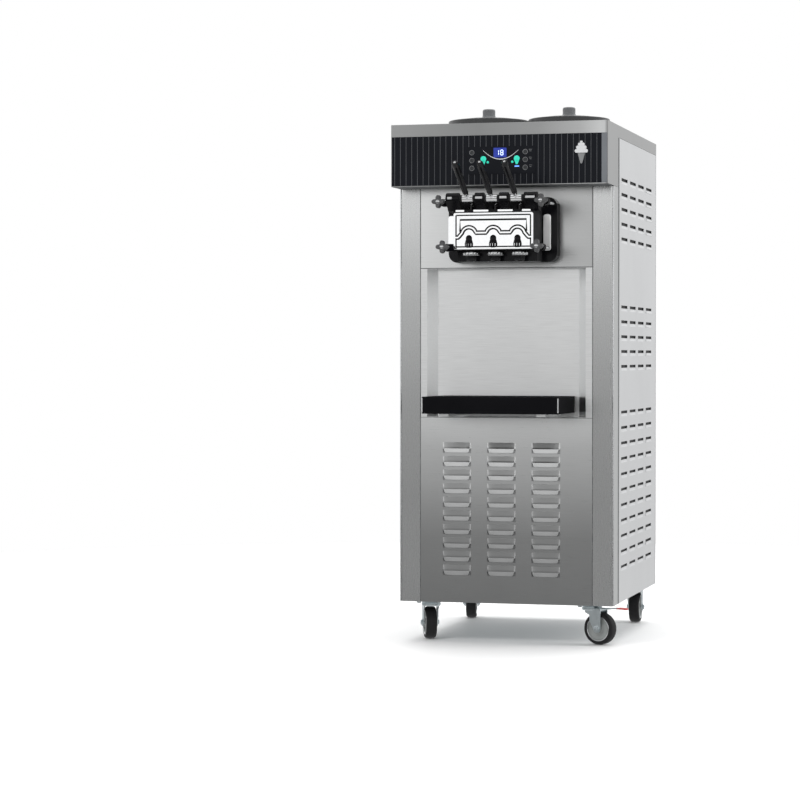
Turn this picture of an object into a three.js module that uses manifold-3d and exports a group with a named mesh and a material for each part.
// Floor-standing soft serve machine: a sheet-metal cabinet on four swivel casters, two hoppers with
// lids, two freezing cylinders with dashers, a three-valve dispensing head and a drip tray.
// Millimetres. X runs to the right, Y to the back and Z up. While the machine is built, its cabinet's
// front face is at y = 0, its middle at x = 0 and the floor at z = 0; the last lines centre it.

import * as THREE from 'three';
import { mergeVertices } from 'three/addons/utils/BufferGeometryUtils.js';
import Module from 'manifold-3d';

const wasm = await Module();
wasm.setup();

// ---------------------------------------------------------------- driving dimensions

const GAP = 0.3;
const SHEET = 1.5;

const CABINET = { width: 540, depth: 640, bottom: 100, top: 1250 };
const HALF = CABINET.width / 2;
const POST = { width: 52, sideDepth: 62, edgeRadius: 8 };
const SIDE_SEAM = 2;
const PANEL = { half: 216.5, upperBottom: 931, splashTop: 929.5, splashBottom: 560.5, lowerTop: 559.5 };
const RECESS = { mouth: 200, back: 179, depth: 28 };

const HEADER = { overhang: 85, bottom: 1128, capTop: 1280 };
const FASCIA = { thickness: 3, half: HALF - SHEET - GAP };
const CONTROLS = { left: -77, right: 93, bottom: 1155, top: 1222, thickness: 0.7 };
const LCD = { left: -12, right: 21, bottom: 1195, top: 1219 };
const BUTTON = { radius: 4.5, proud: 1.2, length: 6, leftX: -66, rightX: 67, rows: [1208, 1189, 1170] };

const SLOT = { length: 88, height: 14, starts: [108, 232, 356, 480] };
const SLOT_ROWS = [
  { count: 5, top: 1154, pitch: 36.75 },
  { count: 5, top: 838, pitch: 37 },
  { count: 11, top: 576, pitch: 38.5 },
];
const REAR_SLOT = { length: 110, height: 14, columns: [-205, -55, 95], rows: 8, bottom: 190, pitch: 40 };
const LOUVRE = {
  width: 72, height: 22, proud: 7, columns: [-124, -11, 101], rows: 10, bottom: 168, pitch: 33.8,
};

const HOPPER = { x: 105, y: 270, radius: 88, flange: 101, bottom: 1093, feedX: 62 };
const LID = { radius: 104, rimTop: 1317, crown: 1326, knobTop: 1348 };
const CYLINDER = { x: 62, z: 1030, outer: 52, inner: 45, shaftHole: 8, length: 328 };
const DASHER = { half: 40, thickness: 5, from: 10, to: 310, turns: 1.25, steps: 12, shaft: 7.6 };

const HEAD = {
  half: 99, front: -138, flangeHalf: 136, flangeFront: -37, bottom: 942, top: 1100, blockBottom: 968,
};
const VALVES = { xs: [-60, 0, 60], y: -116, bore: 11 };
const PIVOT = { y: -154, z: 1092, pin: 5 };
const LEVER = { hub: 9, halfWidth: 19, restAngle: 30, length: 154, tail: 38.6, tailAngle: 12, ball: 3.8 };
const NOZZLE = { flange: 19.5, flangeBottom: 956, tip: 13, bottom: 943 };
const KNOB = { front: -190, thickness: 18, sleeveEnd: -138.5, studEnd: -37.6 };
const FRONT_PLATE = { half: 98.5, bottom: 970, top: 1059, thickness: 3.7 };
const SCREWS = [
  { name: 'upper_left_hand_screw', x: -126, z: 1084 },
  { name: 'upper_right_hand_screw', x: 126, z: 1084 },
  { name: 'lower_left_hand_screw', x: -116, z: 975 },
  { name: 'lower_right_hand_screw', x: 116, z: 975 },
];

const TRAY = { half: 168, front: -180, back: 25, bottom: 573, top: 614, wall: 2.5 };
const TRAY_RAIL = { xs: [-120, 120], half: 12, front: -150, bottom: 566 };

const GEAR_MOTOR = {
  boxHalf: 42, boxRise: 46, boxDepth: 64, motor: 38, motorEnd: 190, cowl: 42, cowlEnd: 215,
};
const COMPRESSOR = { x: -120, y: 430, radius: 70, shoulder: 250, top: 300, footHalf: 80 };
const CONDENSER = { half: 150, front: 40, root: 70, back: 84, top: 420, pitch: 25, fin: 20 };
const FAN = { y: 112, z: 260, hub: 24, blade: 90, chord: 44, twist: 32, blades: 5, motor: 28, motorEnd: 175 };

const CASTER = {
  frontX: 205, frontY: 60, rearX: 224, rearY: 575, wheelRadius: 40, trail: 24, padBottom: 97, axle: 4,
};
const CASTERS = [
  { name: 'front_left', x: -CASTER.frontX, y: CASTER.frontY, heading: 112, brake: true },
  { name: 'front_right', x: CASTER.frontX, y: CASTER.frontY, heading: -18, brake: true },
  { name: 'rear_left', x: -CASTER.rearX, y: CASTER.rearY, heading: 100, brake: false },
  { name: 'rear_right', x: CASTER.rearX, y: CASTER.rearY, heading: 92, brake: false },
];

// ---------------------------------------------------------------- finishes

const STEEL = { color: 0xb9bbbc, roughness: 0.38, metalness: 0.9 };
const CHROME = { color: 0xd8dadc, roughness: 0.12, metalness: 1 };
const ZINC = { color: 0xa9b0b4, roughness: 0.4, metalness: 0.9 };
const BLACK = { color: 0x0d0e10, roughness: 0.3, metalness: 0 };
const RUBBER = { color: 0x141414, roughness: 0.7, metalness: 0 };
const PAINT = { color: 0x2b2d30, roughness: 0.5, metalness: 0.2 };
const DISPLAY = { color: 0x2a48c8, roughness: 0.2, metalness: 0 };

// ---------------------------------------------------------------- solid modelling helpers

// Turns a closed geometry into a solid, whichever way round its faces were listed.
function solid(geometry) {
  const bare = new THREE.BufferGeometry();
  bare.setAttribute('position', geometry.getAttribute('position'));
  bare.setIndex(geometry.getIndex());
  const merged = mergeVertices(bare, 1e-4);
  const points = merged.getAttribute('position');
  const index = merged.getIndex().array;
  const faces = [];
  let volume = 0;
  for (let i = 0; i < index.length; i += 3) {
    const [a, b, c] = [index[i], index[i + 1], index[i + 2]];
    if (a === b || b === c || c === a) continue;
    faces.push([a, b, c]);
    const corners = [a, b, c].map((v) => new THREE.Vector3().fromBufferAttribute(points, v));
    volume += corners[0].dot(corners[1].cross(corners[2]));
  }
  const triVerts = faces.map(([a, b, c]) => (volume > 0 ? [a, b, c] : [a, c, b])).flat();
  return new wasm.Manifold(new wasm.Mesh({
    numProp: 3,
    vertProperties: new Float32Array(points.array),
    triVerts: new Uint32Array(triVerts),
  }));
}

function join(...solids) {
  return solids.reduce((sum, next) => sum.add(next));
}

function cut(base, ...tools) {
  return tools.reduce((rest, tool) => rest.subtract(tool), base);
}

function geometryOf(body) {
  const mesh = body.getMesh();
  const geometry = new THREE.BufferGeometry();
  geometry.setAttribute('position', new THREE.BufferAttribute(new Float32Array(mesh.vertProperties), 3));
  geometry.setIndex(new THREE.BufferAttribute(new Uint32Array(mesh.triVerts), 1));
  geometry.computeVertexNormals();
  return geometry;
}

function addPart(parent, name, body, finish) {
  const mesh = new THREE.Mesh(geometryOf(body), new THREE.MeshStandardMaterial(finish));
  mesh.name = name;
  parent.add(mesh);
  return mesh;
}

// An outline in the plane across an axis: (y, z) across x, (x, z) across y and (x, y) across z.
const FRAMES = {
  x: new THREE.Matrix4().makeBasis(
    new THREE.Vector3(0, 1, 0), new THREE.Vector3(0, 0, 1), new THREE.Vector3(1, 0, 0)),
  y: new THREE.Matrix4().makeBasis(
    new THREE.Vector3(1, 0, 0), new THREE.Vector3(0, 0, 1), new THREE.Vector3(0, -1, 0)),
  z: new THREE.Matrix4(),
};

function prism(axis, outline, from, to, holes = []) {
  const shape = new THREE.Shape(outline.map(([a, b]) => new THREE.Vector2(a, b)));
  const geometry = new THREE.ExtrudeGeometry(shape, { depth: to - from, bevelEnabled: false });
  geometry.applyMatrix4(FRAMES[axis]);
  const start = { x: [from, 0, 0], y: [0, to, 0], z: [0, 0, from] }[axis];
  const cutters = holes.map((hole) => prism(axis, hole, from - 1, to + 1));
  return cut(solid(geometry.translate(...start)), ...cutters);
}

function rectangle(a0, a1, b0, b1) {
  return [[a0, b0], [a1, b0], [a1, b1], [a0, b1]];
}

function arc(a, b, radius, fromDegrees, toDegrees, steps) {
  return Array.from({ length: steps + 1 }, (_, i) => {
    const angle = THREE.MathUtils.degToRad(fromDegrees + ((toDegrees - fromDegrees) * i) / steps);
    return [a + radius * Math.cos(angle), b + radius * Math.sin(angle)];
  });
}

function circle(a, b, radius, sides) {
  return arc(a, b, radius, 0, 360, sides).slice(0, sides);
}

function roundedRectangle(a0, a1, b0, b1, radius, steps) {
  return [
    ...arc(a1 - radius, b0 + radius, radius, -90, 0, steps),
    ...arc(a1 - radius, b1 - radius, radius, 0, 90, steps),
    ...arc(a0 + radius, b1 - radius, radius, 90, 180, steps),
    ...arc(a0 + radius, b0 + radius, radius, 180, 270, steps),
  ];
}

function box(x0, x1, y0, y1, z0, z1) {
  return prism('z', rectangle(x0, x1, y0, y1), z0, z1);
}

function rod(axis, a, b, radius, from, to, sides = 12) {
  return prism(axis, circle(a, b, radius, sides), from, to);
}

// Turns a profile of (radius, height) points about the Z axis through (x, y).
function turned(profile, sides, x = 0, y = 0) {
  const points = profile.map(([radius, height]) => new THREE.Vector2(radius, height));
  const geometry = new THREE.LatheGeometry(points, sides);
  return solid(geometry.rotateX(Math.PI / 2).translate(x, y, 0));
}

// ---------------------------------------------------------------- cabinet

function basePlate() {
  const edge = HALF - SHEET - GAP;
  const { bottom, depth } = CABINET;
  const plate = box(-edge, edge, POST.edgeRadius, depth - SHEET - GAP, bottom, bottom + 4);
  const pads = CASTERS.map(({ x, y }) => box(x - 34, x + 34, y - 34, y + 34, CASTER.padBottom, bottom + 1));
  return join(plate, ...pads);
}

// The L-shaped post at a front corner; side is -1 for the left and 1 for the right.
function cornerPost(side) {
  const radius = POST.edgeRadius;
  const outline = [
    [HALF - POST.width, 0],
    ...arc(HALF - radius, radius, radius, -90, 0, 4),
    [HALF, POST.sideDepth],
    [HALF - SHEET, POST.sideDepth],
    ...arc(HALF - radius, radius, radius - SHEET, 0, -90, 4),
    [HALF - POST.width, SHEET],
  ];
  return prism('z', outline.map(([x, y]) => [side * x, y]), CABINET.bottom, HEADER.bottom - GAP);
}

function sidePanel(side) {
  const windows = SLOT_ROWS.flatMap(({ count, top, pitch }) => Array.from({ length: count }, (_, row) => {
    const z = top - row * pitch;
    return SLOT.starts.map((y) => rectangle(y, y + SLOT.length, z - SLOT.height, z));
  })).flat();
  const rear = CABINET.depth - SHEET - GAP;
  const outline = rectangle(POST.sideDepth + SIDE_SEAM, rear, CABINET.bottom, CABINET.top - GAP);
  const inner = side > 0 ? HALF - SHEET : -HALF;
  return prism('x', outline, inner, inner + SHEET, windows);
}

function rearPanel() {
  const windows = REAR_SLOT.columns.flatMap((x) => Array.from({ length: REAR_SLOT.rows }, (_, row) => {
    const z = REAR_SLOT.bottom + row * REAR_SLOT.pitch;
    return rectangle(x, x + REAR_SLOT.length, z, z + REAR_SLOT.height);
  }));
  const outline = rectangle(-HALF, HALF, CABINET.bottom, CABINET.top - GAP);
  return prism('y', outline, CABINET.depth - SHEET, CABINET.depth, windows);
}

function upperFrontPanel() {
  const holes = [-1, 1].map((side) => circle(side * CYLINDER.x, CYLINDER.z, CYLINDER.inner + 1, 20));
  const outline = rectangle(-PANEL.half, PANEL.half, PANEL.upperBottom, HEADER.bottom - GAP);
  return prism('y', outline, 0, SHEET, holes);
}

// A folded splash panel: flat margins, splayed walls and a set-back middle, closed above and below,
// with the two rails that the drip tray slides on.
function splashPanel() {
  const outer = [[-PANEL.half, 0], [-RECESS.mouth, 0], [-RECESS.back, RECESS.depth]];
  const front = [...outer, ...outer.map(([x, y]) => [-x, y]).reverse()];
  const back = front.map(([x, y]) => [x, y + SHEET]).reverse();
  const sheet = prism('z', [...front, ...back], PANEL.splashBottom, PANEL.splashTop);
  const recess = [front[1], front[2], front[3], front[4]].map(([x, y]) => [x, y + SHEET / 2]);
  const ceiling = prism('z', recess, PANEL.splashTop - SHEET, PANEL.splashTop);
  const floor = prism('z', recess, PANEL.splashBottom, PANEL.splashBottom + SHEET);
  const { xs, half, front: railFront, bottom: railBottom } = TRAY_RAIL;
  const rails = xs.map((x) => (
    box(x - half, x + half, railFront, RECESS.depth + 1, railBottom, TRAY.bottom - GAP)));
  return join(sheet, ceiling, floor, ...rails);
}

// A flat panel with rows of pressed hoods, each open along its lower edge.
function lowerLouvrePanel() {
  const places = LOUVRE.columns.flatMap((x) => (
    Array.from({ length: LOUVRE.rows }, (_, row) => [x, LOUVRE.bottom + row * LOUVRE.pitch])));
  const windows = places.map(([x, z]) => (
    rectangle(x - LOUVRE.width / 2, x + LOUVRE.width / 2, z, z + LOUVRE.height - 6)));
  const outline = rectangle(-PANEL.half, PANEL.half, CABINET.bottom, PANEL.lowerTop);
  const sheet = prism('y', outline, 0, SHEET, windows);
  const hoods = places.map(([x, z]) => prism('x', [
    [SHEET / 2, z + LOUVRE.height],
    [0, z + LOUVRE.height],
    [-LOUVRE.proud, z + 5],
    [-LOUVRE.proud, z],
    [-LOUVRE.proud + SHEET, z],
    [-LOUVRE.proud + SHEET, z + 4],
    [SHEET / 2, z + LOUVRE.height - 6],
  ], x - LOUVRE.width / 2, x + LOUVRE.width / 2));
  return join(sheet, ...hoods);
}

// The cap with its turned-down rim and hopper holes, and the overhanging housing under its front.
function topCover() {
  const front = -HEADER.overhang;
  const inside = { half: HALF - SHEET, rear: CABINET.depth - SHEET, top: HEADER.capTop - SHEET };
  const cap = cut(
    box(-HALF, HALF, front, CABINET.depth, CABINET.top, HEADER.capTop),
    box(-inside.half, inside.half, front + SHEET, inside.rear, CABINET.top - 1, inside.top),
    ...[-1, 1].map((side) => rod('z', side * HOPPER.x, HOPPER.y, HOPPER.radius + 1.2, 1200, 1300, 28)),
  );
  const sides = [-HALF, HALF - SHEET].map((x) => (
    prism('x', rectangle(front, POST.sideDepth, HEADER.bottom, CABINET.top + 1), x, x + SHEET)));
  const underside = box(-HALF, HALF, front, -GAP, HEADER.bottom, HEADER.bottom + SHEET);
  return join(cap, ...sides, underside);
}

// ---------------------------------------------------------------- fascia and controls

const BUTTONS = [BUTTON.leftX, BUTTON.rightX].flatMap((x, column) => (
  BUTTON.rows.map((z, row) => ({ name: `${['left', 'right'][column]}_button_${row + 1}`, x, z }))));

function buttonHoles() {
  return BUTTONS.map(({ x, z }) => circle(x, z, BUTTON.radius + 0.4, 10));
}

function fasciaPanel() {
  const outline = rectangle(-FASCIA.half, FASCIA.half, HEADER.bottom + SHEET + GAP, CABINET.top - GAP);
  return prism('y', outline, -HEADER.overhang, -HEADER.overhang + FASCIA.thickness, buttonHoles());
}

function controlPanel() {
  const back = -HEADER.overhang - GAP;
  const outline = rectangle(CONTROLS.left, CONTROLS.right, CONTROLS.bottom, CONTROLS.top);
  const window = rectangle(LCD.left, LCD.right, LCD.bottom, LCD.top);
  return prism('y', outline, back - CONTROLS.thickness, back, [...buttonHoles(), window]);
}

function lcdScreen() {
  const back = -HEADER.overhang - GAP;
  const [x0, x1] = [LCD.left + GAP, LCD.right - GAP];
  return box(x0, x1, back - CONTROLS.thickness, back, LCD.bottom + GAP, LCD.top - GAP);
}

function button({ x, z }) {
  const front = -HEADER.overhang - GAP - CONTROLS.thickness - BUTTON.proud;
  return rod('y', x, z, BUTTON.radius, front, front + BUTTON.length, 10);
}

// ---------------------------------------------------------------- hoppers, cylinders and drive

function hopper(side) {
  const { radius, flange, bottom } = HOPPER;
  const tank = turned([
    [0, bottom], [radius, bottom], [radius, HEADER.capTop + GAP], [flange, HEADER.capTop + GAP],
    [flange, HEADER.capTop + 4], [radius - SHEET, HEADER.capTop + 4], [radius - SHEET, bottom + SHEET],
    [0, bottom + SHEET],
  ], 24, side * HOPPER.x, HOPPER.y);
  const feedBottom = CYLINDER.z + CYLINDER.outer + GAP + 0.2;
  const tube = rod('z', side * HOPPER.feedX, HOPPER.y, 8, feedBottom, bottom + 1);
  const bore = rod('z', side * HOPPER.feedX, HOPPER.y, 6, feedBottom - 5, bottom + 10);
  return cut(join(tank, tube), bore);
}

function lid(side) {
  const { radius, rimTop, crown, knobTop } = LID;
  const skirtBottom = HEADER.capTop + 4 + GAP;
  return turned([
    [0, crown - 5], [radius - 6, rimTop - 5], [radius - 4, skirtBottom], [radius, skirtBottom],
    [radius, rimTop - 4], [radius - 4, rimTop], [20, crown], [17, knobTop - 5], [13, knobTop], [0, knobTop],
  ], 24, side * HOPPER.x, HOPPER.y);
}

// A piece turned about the front-to-back axis of a freezing cylinder; heights become places along Y.
function alongCylinder(profile, sides, side) {
  const points = profile.map(([radius, y]) => new THREE.Vector2(radius, y));
  return solid(new THREE.LatheGeometry(points, sides).translate(side * CYLINDER.x, 0, CYLINDER.z));
}

function freezingCylinder(side) {
  const { outer, inner, shaftHole, length } = CYLINDER;
  const front = SHEET + GAP;
  return alongCylinder([
    [inner, front], [outer, front], [outer, front + length], [shaftHole, front + length],
    [shaftHole, front + length - 8], [inner, front + length - 8], [inner, front],
  ], 24, side);
}

// A scraper ribbon twisted round its shaft.
function dasher(side) {
  const { half, thickness, from, to, turns, steps, shaft } = DASHER;
  const shape = new THREE.Shape(rectangle(-half, half, -thickness / 2, thickness / 2)
    .map(([a, b]) => new THREE.Vector2(a, b)));
  const ribbon = new THREE.ExtrudeGeometry(shape, { depth: to - from, steps, bevelEnabled: false });
  const points = ribbon.getAttribute('position');
  const point = new THREE.Vector3();
  for (let i = 0; i < points.count; i += 1) {
    point.fromBufferAttribute(points, i);
    point.applyAxisAngle(new THREE.Vector3(0, 0, 1), (2 * Math.PI * turns * point.z) / (to - from));
    points.setXYZ(i, point.x, point.y, point.z);
  }
  ribbon.rotateX(-Math.PI / 2).translate(side * CYLINDER.x, from, CYLINDER.z);
  const end = SHEET + GAP + CYLINDER.length;
  return join(solid(ribbon), rod('y', side * CYLINDER.x, CYLINDER.z, shaft, to - 4, end + 0.7, 10));
}

function gearMotor(side) {
  const { boxHalf, boxRise, boxDepth, motor, motorEnd, cowl, cowlEnd } = GEAR_MOTOR;
  const x = side * CYLINDER.x;
  const front = SHEET + GAP + CYLINDER.length + 1;
  const { z } = CYLINDER;
  const gearbox = box(x - boxHalf, x + boxHalf, front, front + boxDepth, z - boxRise, z + boxRise);
  const can = rod('y', x, z, motor, front + boxDepth - 4, front + motorEnd, 20);
  return join(gearbox, can, rod('y', x, z, cowl, front + motorEnd - 5, front + cowlEnd, 20));
}

function compressor() {
  const { x, y, radius, shoulder, top, footHalf } = COMPRESSOR;
  const bottom = CABINET.bottom + 4 + GAP;
  const can = turned([
    [0, bottom + 6], [radius - 10, bottom + 6], [radius, bottom + 20], [radius, shoulder],
    [radius - 8, top - 20], [radius - 30, top - 4], [0, top],
  ], 20, x, y);
  const foot = box(x - footHalf, x + footHalf, y - footHalf, y + footHalf, bottom, bottom + 8);
  const terminals = box(x + radius - 16, x + radius + 10, y - 25, y + 25, 190, 235);
  return join(can, foot, terminals);
}

// A finned core with the bracket and can of the fan motor behind it.
function condenser() {
  const { half, front, root, back, top, pitch, fin } = CONDENSER;
  const bottom = CABINET.bottom + 4 + GAP;
  const fins = Array.from({ length: (2 * half) / pitch }, (_, i) => {
    const x = -half + i * pitch;
    return [[x, front], [x + fin, front], [x + fin, root], [x + pitch, root]];
  }).flat();
  const outline = [[-half, back], ...fins, [half, front], [half + 5, front], [half + 5, back]];
  const core = prism('z', outline, bottom, top);
  const strip = box(-10, 10, back - 4, FAN.motorEnd, bottom, bottom + 5);
  const stand = box(-8, 8, 140, 158, bottom, FAN.z);
  const motor = rod('y', 0, FAN.z, FAN.motor, 130, FAN.motorEnd, 16);
  return join(core, strip, stand, motor);
}

function fan() {
  const hub = rod('y', 0, FAN.z, FAN.hub, FAN.y - 14, FAN.y + 17, 16);
  const blades = Array.from({ length: FAN.blades }, (_, i) => {
    const blade = new THREE.BoxGeometry(FAN.blade, 2.5, FAN.chord);
    blade.rotateX(THREE.MathUtils.degToRad(FAN.twist)).translate(FAN.blade / 2 + 20, 0, 0);
    blade.rotateY((2 * Math.PI * i) / FAN.blades).translate(0, FAN.y, FAN.z);
    return solid(blade);
  });
  return join(hub, ...blades);
}

// ---------------------------------------------------------------- dispensing head

function lug(x0, x1) {
  const outline = [
    [HEAD.front, 1062],
    [-110, 1062],
    [-110, PIVOT.z],
    ...arc(PIVOT.y, PIVOT.z, 14, 0, 205, 9),
  ];
  return prism('x', outline, x0, x1);
}

function ear({ x, z }) {
  const side = Math.sign(x);
  const inner = side * (Math.abs(x) > 120 ? 105 : 92);
  const outline = rectangle(Math.min(inner, x), Math.max(inner, x), z - 9, z + 9);
  const arm = prism('y', outline, HEAD.front, HEAD.front + 24);
  return join(arm, rod('y', x, z, 9.5, HEAD.front, HEAD.front + 24));
}

function dispensingHead() {
  const { half, front, flangeHalf, flangeFront, bottom, top, blockBottom } = HEAD;
  const flange = prism('y', roundedRectangle(-flangeHalf, flangeHalf, bottom, top, 22, 5), flangeFront, -1);
  const block = box(-half, half, front, flangeFront + 1, blockBottom, 1066);
  const lip = box(-half, half, VALVES.y + NOZZLE.flange + 1.5, flangeFront + 1, bottom, blockBottom + 1);
  const lugs = [[-112, -80], [-41, -19], [19, 41], [80, 112]].map(([x0, x1]) => lug(x0, x1));
  const bores = VALVES.xs.map((x) => rod('z', x, VALVES.y, VALVES.bore, bottom - 10, 1080, 14));
  const screwBores = SCREWS.map(({ x, z }) => rod('y', x, z, 4.4, front - 10, flangeFront - GAP, 10));
  const pinBore = rod('x', PIVOT.y, PIVOT.z, PIVOT.pin + GAP, -111.4, 111.4);
  return cut(join(flange, block, lip, ...lugs, ...SCREWS.map(ear)), ...bores, ...screwBores, pinBore);
}

function frontPlate() {
  const { half, bottom, top, thickness } = FRONT_PLATE;
  const keyholes = VALVES.xs.map((x) => [
    [x - 3.5, 976],
    [x + 3.5, 976],
    ...arc(x, 993, 8, -64, 244, 10),
  ]);
  const back = HEAD.front - GAP;
  return prism('y', rectangle(-half, half, bottom, top), back - thickness, back, keyholes);
}

function leverPin() {
  return rod('x', PIVOT.y, PIVOT.z, PIVOT.pin, -111, 111);
}

function starNozzle(x) {
  const star = Array.from({ length: 12 }, (_, i) => {
    const angle = (i * Math.PI) / 6;
    const radius = i % 2 ? 5.5 : 10;
    return [x + radius * Math.cos(angle), VALVES.y + radius * Math.sin(angle)];
  });
  const flange = rod('z', x, VALVES.y, NOZZLE.flange, NOZZLE.flangeBottom, HEAD.blockBottom - GAP, 20);
  const tip = rod('z', x, VALVES.y, NOZZLE.tip, NOZZLE.bottom, NOZZLE.flangeBottom + 1, 16);
  return cut(join(flange, tip), prism('z', star, NOZZLE.bottom - 1, HEAD.blockBottom + 1));
}

// The draw lever about its own pivot, with its handle along -Y and its tail, which lifts the piston.
function lever() {
  const tail = THREE.MathUtils.degToRad(LEVER.tailAngle);
  const [tailY, tailZ] = [LEVER.tail * Math.cos(tail), LEVER.tail * Math.sin(tail)];
  const hub = rod('x', 0, 0, LEVER.hub, -LEVER.halfWidth, LEVER.halfWidth, 14);
  const { length } = LEVER;
  const grip = [[0, 4], [5, 4], [5, 44], [7.2, 46], [8.6, length - 8], [6, length], [0, length]];
  const handle = new THREE.LatheGeometry(grip.map(([r, y]) => new THREE.Vector2(r, y)), 12).rotateX(Math.PI);
  const ball = new THREE.SphereGeometry(LEVER.ball, 10, 7).translate(0, tailY, tailZ);
  const arm = new THREE.CylinderGeometry(2, 2, LEVER.tail - 4, 8);
  arm.translate(0, LEVER.tail / 2 + 2, 0).rotateX(tail);
  const bore = rod('x', 0, 0, PIVOT.pin + GAP, -50, 50);
  return cut(join(hub, solid(handle), solid(arm), solid(ball)), bore);
}

// The draw piston: a plug in its bore, with a slotted head round the lever's tail.
function piston(x) {
  const rest = THREE.MathUtils.degToRad(LEVER.restAngle - LEVER.tailAngle);
  const slotZ = PIVOT.z - LEVER.tail * Math.sin(rest);
  const body = turned([
    [0, 972], [VALVES.bore - 0.4, 972], [VALVES.bore - 0.4, 1060], [6.5, 1064], [6.5, 1096], [0, 1096],
  ], 14, x, VALVES.y);
  return cut(body, box(x - 10, x + 10, VALVES.y - 12, VALVES.y + 4.8, slotZ - 5.6, slotZ + 5.6));
}

// A hand screw about its own stud, which runs back along +Y from a lobed knob.
function handScrew() {
  const lobed = Array.from({ length: 24 }, (_, i) => {
    const angle = (i * Math.PI) / 12;
    const radius = 13 + 3 * Math.cos(4 * angle);
    return [radius * Math.cos(angle), radius * Math.sin(angle)];
  });
  const { front, thickness, sleeveEnd, studEnd } = KNOB;
  return join(
    prism('y', lobed, 0, thickness),
    rod('y', 0, 0, 7, thickness - 1, sleeveEnd - front),
    rod('y', 0, 0, 4, thickness, studEnd - front, 8),
  );
}

// ---------------------------------------------------------------- drip tray

function dripTray() {
  const { half, front, back, bottom, top, wall } = TRAY;
  const outer = box(-half, half, front, back, bottom, top);
  return cut(outer, box(-half + wall, half - wall, front + wall, back - wall, bottom + 3, top + 5));
}

function trayGrid() {
  const { half, front, back, bottom, top, wall } = TRAY;
  const inset = wall + 0.5;
  const slots = Array.from({ length: 9 }, (_, i) => {
    const y = front + 18 + i * 20;
    return rectangle(-half + 20, half - 20, y, y + 8);
  });
  const outline = rectangle(-half + inset, half - inset, front + inset, back - inset);
  const plate = prism('z', outline, top - 5, top - 1.3, slots);
  const legs = [-half + 8, half - 16].flatMap((x) => [front + 6, back - 14].map((y) => (
    box(x, x + 8, y, y + 8, bottom + 3 + GAP, top - 4))));
  return join(plate, ...legs);
}

// ---------------------------------------------------------------- casters

// A caster's pieces stand about its swivel axis, with the wheel trailing towards +X.
function casterFork() {
  const { trail, axle, padBottom, wheelRadius } = CASTER;
  const leg = [[-9, 89], [34, 89], ...arc(trail, wheelRadius, 10, 0, -180, 6), [4, 58], [3, 74], [-9, 80]];
  const legs = [[-19.2, -16.7], [16.7, 19.2]].map(([y0, y1]) => prism('y', leg, y0, y1));
  const bridge = box(-16, 34, -19.2, 19.2, 85, 89.5);
  const race = rod('z', 0, 0, 22, 89, padBottom - GAP, 16);
  const bolt = rod('y', trail, wheelRadius, axle, -22, 22, 10);
  const nuts = [-22.5, 19].map((y) => rod('y', trail, wheelRadius, 6.5, y, y + 3.5, 6));
  return join(bridge, race, bolt, ...legs, ...nuts);
}

function casterWheel() {
  const sides = 16;
  const { trail, wheelRadius, axle } = CASTER;
  const rim = wheelRadius / Math.cos(Math.PI / sides);
  const half = [[axle + 0.4, 12], [12, 12], [29, 9], [32, 14], [rim - 3, 14], [rim, 11]];
  const profile = [...half.map(([r, y]) => [r, -y]), ...half.reverse(), [axle + 0.4, -12]];
  const wheel = new THREE.LatheGeometry(profile.map(([r, y]) => new THREE.Vector2(r, y)), sides);
  return solid(wheel.rotateY(Math.PI / sides).translate(trail, 0, wheelRadius));
}

function brakePedal() {
  const outline = [
    [35, 88.5], [56, 88.5], [66, 90.5], [98, 90.5], [98, 93.5], [64, 93.5], [54, 92], [35, 92],
  ];
  return prism('y', outline, -11, 11);
}

// ---------------------------------------------------------------- assembly

const machine = new THREE.Group();

addPart(machine, 'base_plate', basePlate(), ZINC);
addPart(machine, 'left_corner_post', cornerPost(-1), STEEL);
addPart(machine, 'right_corner_post', cornerPost(1), STEEL);
addPart(machine, 'left_side_panel', sidePanel(-1), STEEL);
addPart(machine, 'right_side_panel', sidePanel(1), STEEL);
addPart(machine, 'rear_panel', rearPanel(), STEEL);
addPart(machine, 'upper_front_panel', upperFrontPanel(), STEEL);
addPart(machine, 'splash_panel', splashPanel(), STEEL);
addPart(machine, 'lower_louvre_panel', lowerLouvrePanel(), STEEL);
addPart(machine, 'top_cover', topCover(), STEEL);

addPart(machine, 'fascia_panel', fasciaPanel(), BLACK);
addPart(machine, 'control_panel', controlPanel(), BLACK);
addPart(machine, 'lcd_screen', lcdScreen(), DISPLAY);
BUTTONS.forEach((place) => addPart(machine, place.name, button(place), PAINT));

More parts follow.
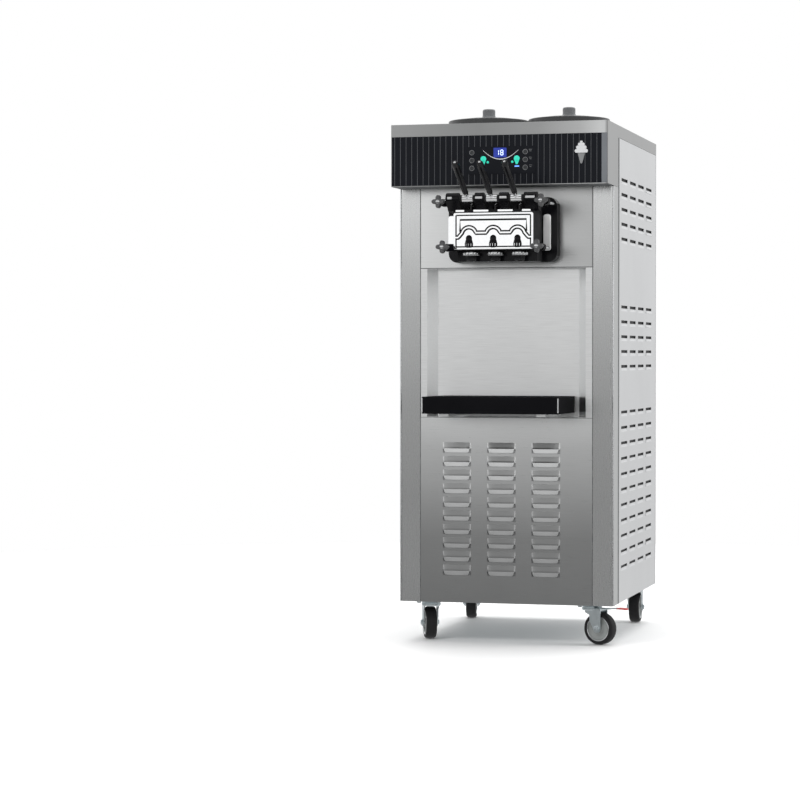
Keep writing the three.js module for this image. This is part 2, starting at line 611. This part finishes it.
[['left', -1], ['right', 1]].forEach(([name, side]) => {
  addPart(machine, `${name}_hopper`, hopper(side), STEEL);
  addPart(machine, `${name}_hopper_lid`, lid(side), BLACK);
  addPart(machine, `${name}_freezing_cylinder`, freezingCylinder(side), STEEL);
  addPart(machine, `${name}_dasher`, dasher(side), STEEL);
  addPart(machine, `${name}_gear_motor`, gearMotor(side), PAINT);
});
addPart(machine, 'compressor', compressor(), PAINT);
addPart(machine, 'condenser', condenser(), ZINC);
addPart(machine, 'condenser_fan', fan(), PAINT);

addPart(machine, 'dispensing_head', dispensingHead(), BLACK);
addPart(machine, 'head_front_plate', frontPlate(), CHROME);
addPart(machine, 'lever_pin', leverPin(), CHROME);
VALVES.xs.forEach((x, i) => {
  const name = ['left', 'middle', 'right'][i];
  addPart(machine, `${name}_star_nozzle`, starNozzle(x), CHROME);
  addPart(machine, `${name}_draw_piston`, piston(x), BLACK);
  const handle = addPart(machine, `${name}_draw_lever`, lever(), BLACK);
  handle.position.set(x, PIVOT.y, PIVOT.z);
  handle.rotation.x = -THREE.MathUtils.degToRad(LEVER.restAngle);
});
SCREWS.forEach(({ name, x, z }) => {
  addPart(machine, name, handScrew(), BLACK).position.set(x, KNOB.front, z);
});

addPart(machine, 'drip_tray', dripTray(), BLACK);
addPart(machine, 'drip_tray_grid', trayGrid(), BLACK);

CASTERS.forEach(({ name, x, y, heading, brake }) => {
  const caster = new THREE.Group();
  caster.position.set(x, y, 0);
  caster.rotation.z = THREE.MathUtils.degToRad(heading);
  addPart(caster, `${name}_caster_fork`, casterFork(), ZINC);
  addPart(caster, `${name}_caster_wheel`, casterWheel(), RUBBER);
  if (brake) addPart(caster, `${name}_brake_pedal`, brakePedal(), PAINT);
  machine.add(caster);
});

// The origin is on the floor, under the middle of the whole machine's box.
machine.updateMatrixWorld(true);
const extent = new THREE.Box3().setFromObject(machine, true);
machine.position.set(-(extent.min.x + extent.max.x) / 2, -(extent.min.y + extent.max.y) / 2, 0);

export default machine;
